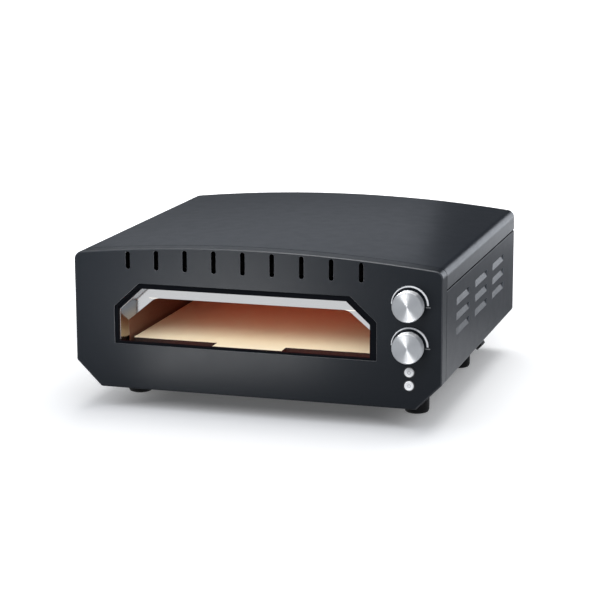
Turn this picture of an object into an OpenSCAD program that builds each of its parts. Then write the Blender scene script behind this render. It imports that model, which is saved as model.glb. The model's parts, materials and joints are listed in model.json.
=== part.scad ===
// Countertop electric pizza oven: arched sheet steel cabinet with an open letterbox mouth,
// two turning dials, two push buttons, a loose pizza stone and the heating parts inside.
// Frame: origin on the floor under the middle of the overall length and width.
// +X is the user's right, the front faces -Y, +Z is up.

/* [Cabinet] */
// Width of the cabinet
body_w = 450; // [440:1:480]
// Depth of the cabinet from front face to rear face
body_d = 420; // [410:1:460]
// Height of the side walls, from the cabinet's underside to where the roof arch starts
side_h = 163; // [158:0.2:182]
// Rise of the roof arch over the middle
crown = 13.3; // [8:0.1:20]
// Radius of the upper corners
corner_r = 10; // [6:0.5:12]
// Size of the lower corner chamfers
chamfer = 31; // [24:1:34]
// Rounding where a chamfer meets a wall
chamfer_r = 4; // [2:0.5:6]
// Thickness of the cabinet sheets
sheet = 1.2; // [1:0.1:1.5]
// Depth of the front panel's return flange
flange_d = 20; // [16:0.5:26]
// Groove between the front panel and the cover behind it
panel_gap = 1.2; // [0.8:0.1:2]
// Height of the seam between cover and side walls, from the cabinet's underside
seam_h = 138.7; // [134:0.1:142]
// Open width of that seam
seam_gap = 1.9; // [0.4:0.1:2]

/* [Vent slots] */
// Number of slots over the mouth
slot_count = 9; // [5:2:9]
// Width of a slot
slot_w = 5.5; // [4:0.1:7]
// Distance from slot to slot
slot_pitch = 35.7; // [34:0.1:38]
// Height of the slots' lower ends over the cabinet's underside
slot_bottom_h = 145.9; // [144:0.1:148]
// Metal left between a slot and the roof line
slot_margin = 3; // [2.5:0.1:5]

/* [Mouth] */
// Distance from the cabinet's left wall to the mouth
mouth_left = 50.1; // [48:0.1:60]
// Distance from the mouth to the cabinet's right wall
mouth_right = 77.5; // [74:0.1:90]
// Height of the mouth's lower edge over the cabinet's underside
mouth_sill_h = 54.7; // [52:0.1:56]
// Height of the mouth
mouth_h = 74.2; // [70:0.1:76]
// Size of the mouth's upper corner chamfers
mouth_chamfer = 29; // [24:0.5:32]
// Width of the black frame that shows inside the mouth, at its top and sides
frame_show = 6.4; // [4:0.1:8]
// Shift of the black frame's opening to the left of the mouth's middle
frame_offset = 2; // [0:0.1:3]
// Width of the black frame that shows at the sill
sill_show = 2.7; // [2:0.1:4]
// Overlap of the black frame behind the front panel
frame_lap = 8; // [6:0.5:10]

/* [Cavity] */
// Distance from the front face to the back of the polished inner front plate
baffle_back = 35; // [32:0.5:40]
// Height of the inner front plate's opening over the sill
baffle_open_h = 50.2; // [46:0.1:54]
// Room for the electrics between the cavity's rear wall and the cabinet's rear face
rear_space = 75; // [72:1:90]
// Height of the cavity floor over the cabinet's underside
cavity_floor_h = 22; // [20:0.5:24]
// Height of the cavity roof over the cabinet's underside
cavity_roof_h = 142.4; // [139:0.1:143]
// Thickness of the cavity sheets
liner = 1; // [0.8:0.1:1.2]
// Thickness of the insulation blanket
blanket = 12; // [8:0.5:14]

/* [Stone] */
// Gap between the pizza stone and each side wall of the cavity
stone_side = 4.8; // [3:0.1:10]
// Gap between the pizza stone and the cavity's rear wall
stone_rear = 10.8; // [6:0.1:20]
// Thickness of the pizza stone
stone_t = 12; // [10:0.5:14]
// Drop of the stone's top under the sill's top edge
stone_drop = 3.3; // [2:0.1:5]
// Width of the stone's front tab
tab_w = 86; // [60:1:120]

/* [Heaters] */
// Diameter of the tubular heaters
heater_d = 8; // [6.5:0.1:8.5]
// Height of the upper heater over the cabinet's underside
upper_heater_h = 128.4; // [126:0.1:130]
// Height of the lower heater over the cabinet's underside
lower_heater_h = 33.4; // [32:0.1:34]
// Distance from the inner front plate back to the upper heater's first leg
upper_leg_front = 45; // [40:1:60]
// Distance from the upper heater's last leg to the cavity's rear wall
upper_leg_rear = 70; // [60:1:80]
// Distance from the back of the inner front plate forward to the lower heater's first leg
lower_leg_front = 9; // [9:0.1:10]
// Distance from the lower heater's last leg to the cavity's rear wall
lower_leg_rear = 61; // [50:1:70]

/* [Controls] */
// Distance of the dials' axes from the cabinet's right wall
dial_inset = 38.3; // [37:0.1:42]
// Height of the lower dial's axis over the cabinet's underside
dial_low_h = 75; // [72:0.1:76]
// Distance between the two dial axes
dial_pitch = 48.4; // [47:0.1:52]
// Diameter of the dials
dial_d = 36; // [32:0.5:38]
// How far the dials stand out of the front panel
dial_proud = 15; // [13:0.5:20]
// Diameter of the dial shafts
shaft_d = 6; // [5:0.5:6.5]
// Running clearance of a shaft in its bush, on the radius
shaft_fit = 0.05; // [0.02:0.01:0.1]
// Outer radius of the printed arc around a dial
arc_r = 22.1; // [21:0.1:23.5]
// Height of the upper push button over the cabinet's underside
button_high_h = 44.2; // [42:0.1:45]
// Distance between the two push buttons
button_pitch = 15.8; // [15:0.1:16.5]
// Diameter of a push button
button_d = 11; // [9:0.5:11]
// How far a push button stands out of the front panel
button_proud = 2.6; // [2:0.1:4]

/* [Underside] */
// Height of the feet, which is the cabinet's height off the floor
foot_h = 25; // [20:0.5:32]
// Diameter of the feet
foot_d = 30; // [26:1:34]
// Distance of the feet's middles from the side walls
foot_inset = 49; // [46:0.5:54]
// Distance from the front face to the front feet
foot_front = 83; // [70:1:100]
// Distance from the rear face to the rear feet
foot_rear = 110; // [80:1:140]

/* [Louvers and bumpers] */
// Length of a side louver
louver_l = 71; // [50:1:76]
// Height of a side louver
louver_h = 9; // [7:0.5:10]
// Depth that a louver is pressed inwards
louver_press = 2.4; // [2:0.1:4.5]
// Distance between louver rows
louver_row = 18.1; // [17:0.1:20]
// Height of the lowest louver row over the cabinet's underside
louver_low_h = 77.7; // [72:0.1:82]
// Distance from the front face to the middle of the first louver column
louver_front = 108; // [100:1:112]
// Distance from the middle of the last louver column to the rear face
louver_rear = 104; // [96:1:110]
// Distance from the front face to the middle of the rubber bumper on each lower chamfer
bumper_y = 265; // [200:1:300]
// Length of the bumpers
bumper_l = 22; // [16:1:80]
// Width of the bumpers across the chamfer
bumper_w = 9; // [6:1:24]
// Thickness of the bumpers
bumper_t = 4.6; // [2:0.1:6]

/* [Rear] */
// How far the cord gland stands out behind the cabinet
gland_proud = 14; // [10:0.5:18]
// Bore of the cord gland
gland_bore = 8; // [7:0.1:9]
// Distance of the gland from the right wall
gland_inset = 49; // [45:1:60]
// Height of the gland over the cabinet's underside
gland_h = 27; // [25:0.5:34]

/* [Hidden] */

// Feet: pocket under the bolt, its roof and the bolt that holds the foot
foot_pocket = 10.4;
foot_floor = 3;
foot_seat = 8;
foot_bolt_r = 2.5;
foot_nut_t = 4;
// Push switches: housing, brackets and tags
switch_half_w = 11;
switch_half_h = 6.5;
switch_leg_x = 9.5;
switch_leg_w = 3;
switch_tag_x = 5;
switch_tag_w = 4;
switch_tag_l = 7;
switch_tag_t = 0.8;
$fn = 64;

// Overall placing: the frame's origin is under the middle of dials to gland
y_shift = (dial_proud - body_d - gland_proud) / 2;
half_w = body_w / 2;
floor_z = foot_h;
seam_z = floor_z + seam_h;
fit = 0.15;
rest_gap = 0.3;
big = 2 * body_w;

// Roof arch: a circle through both wall tops and the middle
arch_r = (half_w * half_w + crown * crown) / (2 * crown);
arch_cz = floor_z + side_h + crown - arch_r;
arch_steps = 24;
corner_steps = 8;

// Fold tongues and lips of the cabinet sheets
joggle_front = 8;
joggle_back = flange_d + 10;
cover_front = flange_d + panel_gap;
tongue_h = 10;
rear_lip = 14;
lip_x = half_w - chamfer - 12;
plate_x = half_w - chamfer - 1;

// Mouth outlines
mouth_w = body_w - mouth_left - mouth_right;
cut_x = (mouth_left - mouth_right) / 2;
mouth_x = cut_x - frame_offset;
sill_z = floor_z + mouth_sill_h;
mouth_top_z = sill_z + mouth_h;
frame_half = mouth_w / 2 - frame_show;
lip_z = sill_z + sill_show;
frame_top_z = mouth_top_z - frame_show;
panel_t = 1.5;
frame_front = panel_t;
frame_step = 3.5;
frame_back = 6;
chamfer_run = 1.09;
step_chamfer = mouth_chamfer - 6.2;
inner_chamfer = mouth_chamfer - 2;
frame_foot = 8;

// Cavity
baffle_t = 1.5;
baffle_front = baffle_back - baffle_t;
cavity_back = body_d - rear_space;
cavity_z = floor_z + cavity_floor_h;
roof_z = floor_z + cavity_roof_h;
wall_l = mouth_x - frame_half;
wall_r = mouth_x + frame_half;
baffle_open_z = lip_z + baffle_open_h - sill_show;
shield_x = wall_r + liner + blanket + 3;
post_flange = 11;
bend_ball = 1.12;
cutout_x = mouth_x + 60;
cutout_z = roof_z - 30;
cutout_back = cavity_back + liner + 14;
cutout_tag = 7;
cutout_tag_x = 4;
block_w = 40;
block_d = 24;
block_h = 17;
pole = 13;
shield_back = cavity_back + 2;

// Stone
stone_top = lip_z - stone_drop;
stone_z = stone_top - stone_t;
stone_front = baffle_back + 1.2;
tab_front = frame_back + 4;
stone_w = 2 * (frame_half - stone_side);
stone_d = cavity_back - stone_rear - stone_front;
rail_w = 13;
rail_h = 10;
rail_t = 1.2;
rail_start = baffle_back + 5;
rail_end = cavity_back - 4;

// Heaters: legs run across, turned by square bends
heater_out = wall_r + 16;
turn_left = 40;
turn_right = 46;
heater_left = wall_l + turn_left;
heater_right = wall_r - turn_right;
leg_count = 6;
last_leg = leg_count - 1;
upper_first = baffle_back + upper_leg_front;
lower_first = baffle_back - lower_leg_front;
upper_step = (cavity_back - upper_leg_rear - upper_first) / last_leg;
lower_step = (cavity_back - lower_leg_rear - lower_first) / last_leg;
upper_legs = [for (i = [0:last_leg]) upper_first + i * upper_step];
lower_legs = [for (i = [0:last_leg]) lower_first + i * lower_step];
bend_share = 0.46;
bend_r = upper_step * bend_share;
upper_z = floor_z + upper_heater_h;
lower_z = floor_z + lower_heater_h;
comb_t = 1.5;
comb_left = 88.8;
comb_right = 80.8;
comb_xs = [wall_l + comb_left, wall_r - comb_right];
comb_end = 9;
bush_r = 6;
bush_hole = bush_r + 0.1;
sensor_d = 2.4;
bulb_d = 5;
bulb_reach = 70;
sensor_y = [(upper_legs[2] + upper_legs[3]) / 2, (lower_legs[4] + lower_legs[5]) / 2];
sensor_z = [upper_z - 14, lower_z];

// Controls
dial_x = half_w - dial_inset;
dial_low_z = floor_z + dial_low_h;
dial_high_z = dial_low_z + dial_pitch;
dial_zs = [dial_high_z, dial_low_z];
button_zs = [floor_z + button_high_h, floor_z + button_high_h - button_pitch];
bush_od = 9.5;
nut_t = 1.8;
core_d = dial_d - 6;
cap_back = 4.5;
cap_face = 1.5;
plate_w = 42;
plate_h = 30;
regulator_w = 38;
regulator_h = 34;
body_front = panel_t + 1.2;
body_back = 21;
tag_l = 8;
tag_w = 6;
tag_t = 0.8;
tag_pitch = 12;
tag_drop = 9.6;
shaft_end = 13.5;
stem_r = 2.5;
collar_r = 7;
collar_t = 1.4;
switch_front = 6.5;
switch_back = 22;
bezel_t = 0.8;
print_t = 0.15;

// Louvers, bumpers, fasteners
foot_x = half_w - foot_inset;
gland_x = half_w - gland_inset;
louver_count = 3;
louver_col = (body_d - louver_front - louver_rear) / (louver_count - 1);
louver_cols = [for (i = [0:louver_count - 1]) louver_front + i * louver_col];
louver_rows = [for (i = [0:louver_count - 1]) floor_z + louver_low_h + i * louver_row];

bumper_low = 18.4;
block_x = gland_x - 28;
block_front = body_d - 62;
screw_r = 2;
screw_fit = 0.05;
rear_screw_at = 7.5;
foot_ys = [foot_front, body_d - foot_rear];
gland_z = floor_z + gland_h;

// ---------- outlines and shared shapes ----------

function unit(v) = v / norm(v);

// Points of a corner at c between p and q, rounded with radius r
function corner(p, c, q, r, n) =
    let (
        u = unit(p - c),
        v = unit(q - c),
        half = acos(u * v) / 2,
        start = c + u * r / tan(half),
        mid = c + unit(u + v) * r / sin(half),
        a = atan2(start[1] - mid[1], start[0] - mid[0]),
        turned = (v[0] * u[1] - v[1] * u[0]) > 0 ? 180 - 2 * half : 2 * half - 180
    )
    [for (i = [0:n]) mid + r * [cos(a + turned * i / n), sin(a + turned * i / n)]];

// Outline from [x, y, radius] corners
function rounded(v, n = corner_steps) =
    [for (i = [0:len(v) - 1])
        let (
            p = v[(i + len(v) - 1) % len(v)],
            c = v[i],
            q = v[(i + 1) % len(v)]
        )
        each (c[2] > 0
            ? corner([p[0], p[1]], [c[0], c[1]], [q[0], q[1]], c[2], n)
            : [[c[0], c[1]]])];

function arch_z(x, t = 0) = arch_cz + sqrt((arch_r - t) * (arch_r - t) - x * x);

// Cabinet section, moved inwards by t
function section(t = 0) =
    let (
        hw = half_w - t,
        k = t * tan(22.5),
        zb = floor_z + t,
        zc = floor_z + chamfer + k,
        xb = half_w - chamfer - k,
        rc = max(chamfer_r - t, 0.4),
        ru = max(corner_r - t, 0.4)
    )
    rounded(concat(
        [[-xb, zb, rc], [xb, zb, rc], [hw, zc, rc], [hw, arch_z(hw, t), ru]],
        [for (i = [1:arch_steps - 1])
            let (x = hw * (1 - 2 * i / arch_steps)) [x, arch_z(x, t), 0]],
        [[-hw, arch_z(hw, t), ru], [-hw, zc, rc]]
    ));

// Mouth-like outline: flat sill, upright sides, cut upper corners
function mouth(x, hw, z0, z1, c, r = 0.6) = rounded([
    [x - hw, z0, r], [x + hw, z0, r],
    [x + hw, z1 - c, r], [x + hw - c * chamfer_run, z1, r],
    [x - hw + c * chamfer_run, z1, r], [x - hw, z1 - c, r],
], 4);

module placed() {
    translate([0, y_shift, 0]) children();
}

// Extrude an X-Z outline from y0 to y1
module slab(y0, y1) {
    translate([0, y1, 0]) rotate([90, 0, 0]) linear_extrude(y1 - y0) children();
}

module skin(t0, t1, y0, y1) {
    slab(y0, y1) difference() {
        polygon(section(t0));
        polygon(section(t1));
    }
}

module box(x0, x1, y0, y1, z0, z1) {
    translate([x0, y0, z0]) cube([x1 - x0, y1 - y0, z1 - z0]);
}

// Cylinder along Y from y0 to y1
module rod_y(x, z, r, y0, y1) {
    translate([x, y1, z]) rotate([90, 0, 0]) cylinder(h = y1 - y0, r = r);
}

// Cylinder along X from x0 to x1
module rod_x(y, z, r, x0, x1) {
    translate([x0, y, z]) rotate([0, 90, 0]) cylinder(h = x1 - x0, r = r);
}

// Cylinder between two points
module stick(a, b, r) {
    d = b - a;
    translate(a) rotate([0, acos(d[2] / norm(d)), atan2(d[1], d[0])])
        cylinder(h = norm(d), r = r, $fn = 24);
}

// Wire or tube through points, with a slightly fuller ball at each bend
module wire(points, r) {
    for (i = [0:len(points) - 2]) stick(points[i], points[i + 1], r);
    for (i = [1:len(points) - 2]) translate(points[i]) sphere(r = bend_ball * r, $fn = 24);
}

// Flat tube in the X-Y plane with round bends of radius bend at the inner points
module bent_tube(points, r, bend) {
    n = len(points);
    for (i = [0:n - 2]) {
        d = unit(points[i + 1] - points[i]);
        a = points[i] + (i > 0 ? d * bend : [0, 0]);
        b = points[i + 1] - (i < n - 2 ? d * bend : [0, 0]);
        translate([a[0], a[1], 0]) rotate([0, 90, atan2(d[1], d[0])])
            cylinder(h = norm(b - a), r = r, $fn = 32);
    }
    for (i = [1:n - 2]) {
        u = unit(points[i] - points[i - 1]);
        v = unit(points[i + 1] - points[i]);
        left = u[0] * v[1] - u[1] * v[0] > 0;
        mid = points[i] - u * bend + (left ? [-u[1], u[0]] : [u[1], -u[0]]) * bend;
        start = atan2(u[1], u[0]) + (left ? -90 : 0);
        translate([mid[0], mid[1], 0]) rotate([0, 0, start])
            rotate_extrude(angle = 90, $fn = 64) translate([bend, 0]) circle(r = r, $fn = 32);
    }
}

// Pan head screw along -Y, its head standing on the plane y = 0
module screw(head_r, head_h, shank_r, shank_l) {
    rotate([-90, 0, 0]) rotate_extrude($fn = 32) polygon([
        [0, -shank_l], [shank_r, -shank_l], [shank_r, 0], [head_r, 0],
        [head_r, head_h * 0.4], [head_r * 0.7, head_h], [0, head_h],
    ]);
}

// ---------- cabinet ----------

module vent_slots() {
    for (i = [0:slot_count - 1]) {
        x = cut_x + (i - (slot_count - 1) / 2) * slot_pitch;
        low = floor_z + slot_bottom_h + slot_w / 2;
        high = arch_z(x) - slot_margin - slot_w / 2;
        rod_y(x, low, slot_w / 2, -1, panel_t + 1);
        rod_y(x, high, slot_w / 2, -1, panel_t + 1);
        box(x - slot_w / 2, x + slot_w / 2, -1, panel_t + 1, low, high);
    }
}

module front_panel() {
    color([0.22, 0.23, 0.25]) placed() difference() {
        union() {
            slab(0, panel_t) polygon(section());
            skin(0, sheet, 0, flange_d);
        }
        slab(-1, panel_t + 1) polygon(mouth(cut_x, mouth_w / 2, sill_z, mouth_top_z, mouth_chamfer));
        vent_slots();
        for (z = dial_zs) rod_y(dial_x, z, bush_od / 2 + fit, -1, panel_t + 1);
        for (z = button_zs) rod_y(dial_x, z, button_d / 2 + 0.25, -1, panel_t + 1);
    }
}

// Printed crescents over the dials, with a short bar under each end
module scale_arcs() {
    arc_w = 1.5;
    off_x = 0.6;
    off_z = 0.3;
    bar_w = 5.5;
    bar_h = 1.1;
    color([0.75, 0.76, 0.78]) placed() for (z = dial_zs) {
        slab(-print_t, 0) translate([dial_x, z]) difference() {
            circle(r = arc_r, $fn = 96);
            translate([-off_x, -off_z]) circle(r = arc_r - arc_w, $fn = 96);
            translate([-big, -2 * big]) square([2 * big, 2 * big]);
        }
        slab(-print_t, 0) translate([dial_x + arc_r - 3.6, z - 2.6]) square([bar_w, bar_h]);
    }
}

module frame_ring(y0, y1, cut) {
    slab(y0, y1) difference() {
        polygon(mouth(cut_x, mouth_w / 2 + frame_lap, sill_z - frame_foot,
            mouth_top_z + frame_lap, mouth_chamfer + frame_lap * 0.6));
        polygon(mouth(mouth_x, frame_half, lip_z, frame_top_z, cut));
    }
}

function rivet_spots() = [
    for (s = [-1, 1]) each [
        [cut_x + s * (mouth_w / 2 + 4), sill_z + 6],
        [cut_x + s * (mouth_w / 2 + 4), mouth_top_z - mouth_chamfer - 8],
        [cut_x + s * (mouth_w / 2 - mouth_chamfer * chamfer_run - 8), mouth_top_z + 4],
    ]
];

module mouth_frame() {
    color([0.06, 0.065, 0.07]) placed() difference() {
        union() {
            frame_ring(frame_front, frame_step, step_chamfer);
            frame_ring(frame_step, frame_back, inner_chamfer);
        }
        for (p = rivet_spots()) rod_y(p[0], p[1], 1.55, 0, frame_back + 1);
    }
}

module frame_rivets() {
    color([0.5, 0.5, 0.52]) placed() for (p = rivet_spots())
        translate([p[0], frame_back, p[1]]) screw(3, 1.4, 1.5, frame_back - panel_t);
}

// Polished liner between the black frame and the inner front plate
module mouth_tunnel() {
    color([0.78, 0.78, 0.78]) placed() difference() {
        slab(frame_back, baffle_front) difference() {
            polygon(mouth(mouth_x, frame_half + liner, cavity_z - liner, frame_top_z + liner,
                inner_chamfer + liner * 0.6));
            polygon(mouth(mouth_x, frame_half, 0, frame_top_z, inner_chamfer));
        }
        heater_holes(wall_r - 1, wall_r + liner + 1, bush_hole);
    }
}

// Polished inner front plate with the cavity opening
module front_baffle() {
    side = post_flange;
    open_run = mouth_chamfer * 1.2;
    open_r = 16;
    color([0.8, 0.8, 0.8]) placed() slab(baffle_front, baffle_back) difference() {
        translate([wall_l - side, floor_z + sheet])
            square([2 * frame_half + 2 * side, roof_z + liner - floor_z - sheet]);
        polygon(rounded([
            [wall_l, 0, 0], [wall_r, 0, 0],
            [wall_r, baffle_open_z - mouth_chamfer, 0.6],
            [wall_r - open_run, baffle_open_z, open_r],
            [wall_l + open_run, baffle_open_z, open_r],
            [wall_l, baffle_open_z - mouth_chamfer, 0.6],
        ]));
    }
}

// Screw places on the rear panel: [x, z]
function cover_screws() = [for (x = [-140, 0, 140]) [x, arch_z(x) - rear_screw_at]];
function side_screws(s) = [
    [s * (half_w - rear_screw_at), floor_z + 60],
    [s * (half_w - rear_screw_at), seam_z - 22],
];
function base_screws() = [for (x = [-100, 100]) [x, floor_z + 9]];

module screw_holes(spots) {
    for (p = spots) rod_y(p[0], p[1], screw_r + screw_fit, body_d - 8, body_d + 1);
}

module top_cover() {
    color([0.25, 0.26, 0.28]) placed() difference() {
        intersection() {
            union() {
                skin(0, sheet, cover_front, body_d);
                skin(sheet, 2 * sheet, joggle_front, joggle_back);
                skin(sheet, rear_lip, body_d - 2 * sheet, body_d - sheet);
            }
            box(-big, big, -1, body_d + 1, seam_z, big);
        }
        screw_holes(cover_screws());
    }
}

// Cut a window for each louver
module louver_windows(s) {
    for (y = louver_cols, z = louver_rows)
        box(s * half_w - 2 * sheet, s * half_w + 2 * sheet, y - louver_l / 2, y + louver_l / 2,
            z - louver_h / 2, z + louver_h / 2);
}

// Inward hoods: a sloping flap from each window's lower edge, with an end cheek on each side
module louver_hoods(s) {
    x_out = half_w - sheet;
    press = louver_press + sheet / 2;
    root = 0.4;
    flap = [[0, 0], [sheet, 0], [sheet - press, louver_h], [-press, louver_h]];
    cheek = [[0.3, 0], [0.3, louver_h], [-press, louver_h]];
    for (y = louver_cols, z = louver_rows) {
        low = z - louver_h / 2 - root;
        slab(y - louver_l / 2 - sheet, y + louver_l / 2 + sheet)
            polygon([for (p = flap) [s * (x_out + p[0]), low + p[1]]]);
        for (y_end = [y - louver_l / 2 - sheet, y + louver_l / 2])
            slab(y_end, y_end + sheet) polygon([for (p = cheek) [s * (x_out + p[0]), low + p[1]]]);
    }
}

module side_panel(s) {
    x0 = s > 0 ? lip_x : -big;
    x1 = s > 0 ? big : -lip_x;
    color([0.27, 0.28, 0.3]) placed() union() {
        difference() {
            intersection() {
                union() {
                    intersection() {
                        skin(0, sheet, cover_front, body_d);
                        box(s > 0 ? plate_x + 0.2 : -big, s > 0 ? big : -plate_x - 0.2,
                            0, body_d + 1, 0, seam_z - seam_gap);
                    }
                    intersection() {
                        skin(sheet, 2 * sheet, joggle_front, joggle_back);
                        box(-big, big, 0, body_d, 0, seam_z - seam_gap);
                    }
                    intersection() {
                        skin(sheet, 2 * sheet, joggle_back, body_d - 2 * sheet);
                        box(-big, big, 0, body_d, 0, floor_z + tongue_h);
                    }
                    intersection() {
                        skin(sheet, 2 * sheet, joggle_back + fit, body_d - 2 * sheet - fit);
                        box(-big, big, 0, body_d, seam_z - seam_gap - tongue_h, seam_z + tongue_h);
                    }
                    intersection() {
                        skin(sheet, rear_lip, body_d - 2 * sheet, body_d - sheet);
                        box(-big, big, 0, body_d, 0, seam_z - seam_gap);
                    }
                }
                box(x0, x1, -1, body_d + 1, 0, big);
            }
            louver_windows(s);
            screw_holes(side_screws(s));
        }
        louver_hoods(s);
    }
}

module side_panel_left() {
    side_panel(-1);
}

module side_panel_right() {
    side_panel(1);
}

module rear_panel() {
    slot_h = 34;
    color([0.2, 0.21, 0.23]) placed() difference() {
        slab(body_d - sheet, body_d) polygon(section(sheet));
        screw_holes(concat(cover_screws(), side_screws(1), side_screws(-1), base_screws()));
        rod_y(gland_x, gland_z, 7.6, body_d - 4, body_d + 1);
        for (i = [-6:6], z = [floor_z + 64, floor_z + 112]) {
            rod_y(i * 14, z - slot_h / 2, 2, body_d - 4, body_d + 1);
            rod_y(i * 14, z + slot_h / 2, 2, body_d - 4, body_d + 1);
            box(i * 14 - 2, i * 14 + 2, body_d - 4, body_d + 1, z - slot_h / 2, z + slot_h / 2);
        }
    }
}

module base_plate() {
    color([0.3, 0.3, 0.32]) placed() difference() {
        union() {
            box(-plate_x, plate_x, cover_front, body_d - 2 * sheet, floor_z, floor_z + sheet);
            box(-lip_x + 1, lip_x - 1, joggle_front, joggle_back, floor_z + sheet, floor_z + 2 * sheet);
            box(-lip_x + 1, lip_x - 1, body_d - 2 * sheet, body_d - sheet, floor_z, floor_z + 14);
        }
        for (s = [-1, 1], y = foot_ys)
            translate([s * foot_x, y, 0]) cylinder(h = big, r = 2.6);
        screw_holes(base_screws());
        for (i = [-4:4], y = [150, 230])
            box(i * 22 - 2.5, i * 22 + 2.5, y - 22, y + 22, floor_z - 1, floor_z + sheet + 1);
    }
}

module rear_screws() {
    spots = concat(cover_screws(), side_screws(1), side_screws(-1), base_screws());
    color([0.12, 0.12, 0.13]) placed() for (p = spots)
        translate([p[0], body_d, p[1]]) screw(3.6, 2.2, screw_r, 7);
}

module feet() {
    r = foot_d / 2;
    wall = r - foot_pocket / 2;
    color([0.05, 0.05, 0.055]) placed() for (s = [-1, 1], y = foot_ys)
        translate([s * foot_x, y, 0]) rotate_extrude($fn = 64) polygon([
            [0, foot_seat - foot_floor], [foot_pocket / 2, foot_seat - foot_floor], [foot_pocket / 2, 0],
            [r - wall * 0.37, 0], [r - wall * 0.15, foot_h * 0.035], [r - wall * 0.04, foot_h * 0.11],
            [r, foot_h * 0.19], [r, foot_h], [foot_bolt_r + 0.1, foot_h], [foot_bolt_r + 0.1, foot_seat],
            [0, foot_seat],
        ]);
}

module foot_screws() {
    color([0.6, 0.6, 0.62]) placed() for (s = [-1, 1], y = foot_ys)
        translate([s * foot_x, y, 0]) {
            translate([0, 0, foot_seat])
                cylinder(h = foot_h + sheet - foot_seat + foot_nut_t + 1.5, r = foot_bolt_r);
            translate([0, 0, foot_h + sheet]) difference() {
                cylinder(h = foot_nut_t, r = foot_bolt_r * 1.76, $fn = 6);
                translate([0, 0, -1]) cylinder(h = foot_nut_t + 2, r = foot_bolt_r - 0.1);
            }
        }
}

// Rubber bumper lying on the lower chamfer
module bumper(s) {
    x0 = half_w;
    z0 = floor_z + chamfer;
    color([0.05, 0.05, 0.055]) placed() mirror([s < 0 ? 1 : 0, 0, 0])
        translate([x0, bumper_y, z0]) rotate([0, 45, 0]) translate([0, 0, -bumper_low - bumper_w / 2])
            linear_extrude(bumper_w) polygon(rounded([
                [0, -bumper_l / 2, 0], [bumper_t, -bumper_l / 2 + 2, 2],
                [bumper_t, bumper_l / 2 - 2, 2], [0, bumper_l / 2, 0],
            ]));
}

module bumper_left() {
    bumper(-1);
}

module bumper_right() {
    bumper(1);
}

// ---------- cavity ----------

module heater_holes(x0, x1, r) {
    for (y = [upper_legs[0], upper_legs[last_leg]]) rod_x(y, upper_z, r, x0, x1);
    for (y = [lower_legs[0], lower_legs[last_leg]]) rod_x(y, lower_z, r, x0, x1);
}

module sensor_holes(x0, x1, r) {
    for (i = [0, 1]) rod_x(sensor_y[i], sensor_z[i], r, x0, x1);
}

module cavity_side(s) {
    inner = s > 0 ? wall_r : wall_l;
    color([0.55, 0.55, 0.56]) placed() difference() {
        union() {
            box(min(inner, inner + s * liner), max(inner, inner + s * liner),
                baffle_back, cavity_back, floor_z + sheet, roof_z);
            box(min(inner, inner - s * post_flange), max(inner, inner - s * post_flange),
                baffle_back, cavity_back, floor_z + sheet, floor_z + 2 * sheet);
        }
        if (s > 0) heater_holes(inner - 1, inner + liner + 1, bush_hole);
        if (s > 0) sensor_holes(inner - 1, inner + liner + 1, bulb_d / 2 + fit);
    }
}

module cavity_side_left() {
    cavity_side(-1);
}

module cavity_side_right() {
    cavity_side(1);
}

module cavity_rear() {
    color([0.55, 0.55, 0.56]) placed() difference() {
        box(wall_l - liner, wall_r + liner, cavity_back, cavity_back + liner, floor_z + sheet, roof_z);
        rod_y(cutout_x, cutout_z, 5.1, cavity_back - 1, cavity_back + liner + 1);
    }
}

module upper_reflector() {
    color([0.6, 0.6, 0.6]) placed()
        box(wall_l - liner, wall_r + liner, baffle_back, cavity_back + liner, roof_z, roof_z + liner);
}

// Cavity floor, with a raised front edge behind the sill
module lower_reflector() {
    color([0.5, 0.5, 0.5]) placed() difference() {
        union() {
            box(wall_l, wall_r, frame_back, cavity_back, cavity_z - liner, cavity_z);
            box(wall_l, wall_r, frame_back, frame_back + liner, cavity_z - liner, lip_z - 3);
        }
        heater_holes(wall_r - 1, wall_r + 1, bush_hole);
    }
}

module stone_rail(s) {
    inner = s > 0 ? wall_r : wall_l;
    top = stone_z - rest_gap;
    color([0.35, 0.34, 0.33]) placed() difference() {
        union() {
            box(min(inner, inner - s * rail_w), max(inner, inner - s * rail_w),
                rail_start, rail_end, top - rail_t, top);
            box(min(inner, inner - s * rail_t), max(inner, inner - s * rail_t),
                rail_start, rail_end, top - rail_h, top);
        }
        if (s > 0) heater_holes(inner - rail_w - 1, inner + 1, bush_hole + 1);
        if (s > 0) sensor_holes(inner - rail_w - 1, inner + 1, bulb_d / 2 + 1);
    }
}

module stone_rail_left() {
    stone_rail(-1);
}

module stone_rail_right() {
    stone_rail(1);
}

module insulation_wrap() {
    top = roof_z + liner;
    color([0.9, 0.88, 0.8]) placed() difference() {
        slab(baffle_back + 1, cavity_back + liner) difference() {
            translate([wall_l - liner - blanket, floor_z + 14])
                square([2 * (frame_half + liner + blanket), top + blanket - floor_z - 14]);
            translate([wall_l - liner, 0]) square([2 * (frame_half + liner), top]);
        }
        heater_holes(wall_r, wall_r + liner + blanket + 1, 11);
        sensor_holes(wall_r, wall_r + liner + blanket + 1, 4);
    }
}

module insulation_rear() {
    color([0.9, 0.88, 0.8]) placed() difference() {
        box(wall_l - liner, wall_r + liner, cavity_back + liner, cavity_back + liner + blanket,
            floor_z + 14, roof_z);
        rod_y(cutout_x, cutout_z, 10, cavity_back, cavity_back + liner + blanket + 1);
    }
}

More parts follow.
